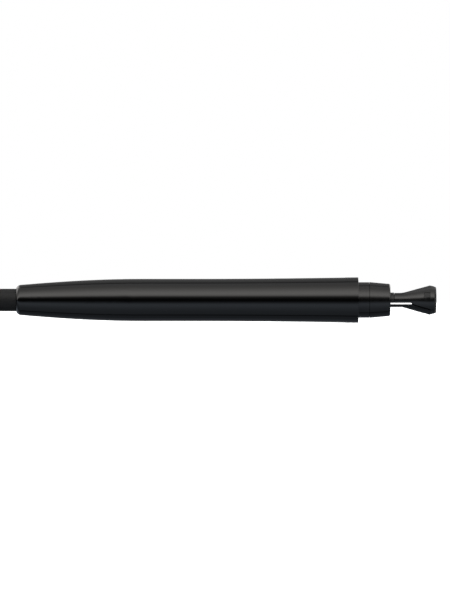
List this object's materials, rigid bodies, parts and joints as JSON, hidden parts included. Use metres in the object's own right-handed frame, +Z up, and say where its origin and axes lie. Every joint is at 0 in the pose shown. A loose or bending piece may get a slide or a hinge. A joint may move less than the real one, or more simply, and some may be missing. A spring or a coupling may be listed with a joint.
{
  "type": "lens cleaning pen",
  "caption": "Slim round lens cleaning pen with a sliding dust brush at one end, a flexing cleaning tip at the other and a clip-on cap pulled off beside the tip.",
  "frame": {"origin": "on the pen's axis at the middle of the barrel's straight grip, 42 mm behind the brush mouth", "axes": "+X along the pen from the brush end to the cleaning tip, +Z up with the pen lying on a table, +Y away from the viewer, towards the thumb button"},
  "size_m": [0.1883, 0.0155, 0.013],
  "materials": {
    "gloss_black": "polished black moulded plastic",
    "satin_black": "semi-gloss black moulded plastic",
    "tip_black": "satin black springy plastic",
    "head_black": "satin black plastic rim, matte latches",
    "grip_black": "fine-textured black plastic with moulded ribs",
    "inner_grey": "plain dark grey acetal",
    "flex_rubber": "soft black elastomer",
    "pad_suede": "black fine-napped suede-like pad with carbon dust",
    "carbon_foam": "open-cell foam loaded with carbon powder",
    "ferrule_black": "matte black moulded ferrule",
    "bristle_hair": "fine dark natural hair",
    "root_resin": "cured dark resin",
    "steel_rod": "drawn steel",
    "spring_steel": "spring steel strip",
    "clip_black": "black lacquered spring steel"
  },
  "bodies": {
    "barrel": {"barrel_shell": "gloss_black", "barrel_end_ring": "gloss_black", "mouth_bush": "inner_grey", "slide_track": "inner_grey", "nose_sleeve": "satin_black", "nose_cone": "satin_black", "socket_retainer": "inner_grey"},
    "brush": {"brush_carriage": "inner_grey", "detent_spring": "spring_steel", "thumb_button": "grip_black", "push_rod": "steel_rod", "brush_ferrule": "ferrule_black", "bristle_root": "root_resin", "brush_bristles": "bristle_hair"},
    "flex_seat": {"flex_bush": "flex_rubber"},
    "tip": {"tip_holder": "tip_black", "stem_nut": "steel_rod", "head_disc": "head_black", "cleaning_pad": "pad_suede"},
    "cap_ring": {"cap_grip_ring": "inner_grey"},
    "cap": {"cap_shell": "gloss_black", "sponge_cup": "inner_grey", "carbon_sponge": "carbon_foam", "cap_crown": "gloss_black", "clip_band": "clip_black", "clip_pin": "spring_steel", "clip_spring": "spring_steel"},
    "clip": {"pocket_clip": "clip_black"}
  },
  "joints": [
    {"name": "brush_slide", "type": "slide", "parent": "barrel", "child": "brush", "axis": [1, 0, 0], "range_m": [0, 0.024]},
    {"name": "tip_flex_up_down", "type": "hinge", "parent": "barrel", "child": "flex_seat", "pos_m": [0.0625, 0, 0], "axis": [0, 1, 0], "range_deg": [-3.5, 3.5], "stiffness_Nm_per_rad": 0.01},
    {"name": "tip_flex_sideways", "type": "hinge", "parent": "flex_seat", "child": "tip", "pos_m": [0.0625, 0, 0], "axis": [0, 0, 1], "range_deg": [-3.5, 3.5], "stiffness_Nm_per_rad": 0.01},
    {"name": "cap_pull", "type": "slide", "parent": "barrel", "child": "cap_ring", "axis": [1, 0, 0], "range_m": [-0.03016, 0]},
    {"name": "cap_twist", "type": "hinge", "parent": "cap_ring", "child": "cap", "pos_m": [0.08831, 0, 0], "axis": [1, 0, 0], "continuous": true},
    {"name": "clip_flex", "type": "hinge", "parent": "cap", "child": "clip", "pos_m": [0.11963, -0.00615, -0.00463], "axis": [0, -0.6018, 0.7986], "range_deg": [0, 6], "stiffness_Nm_per_rad": 0.3}
  ]
}
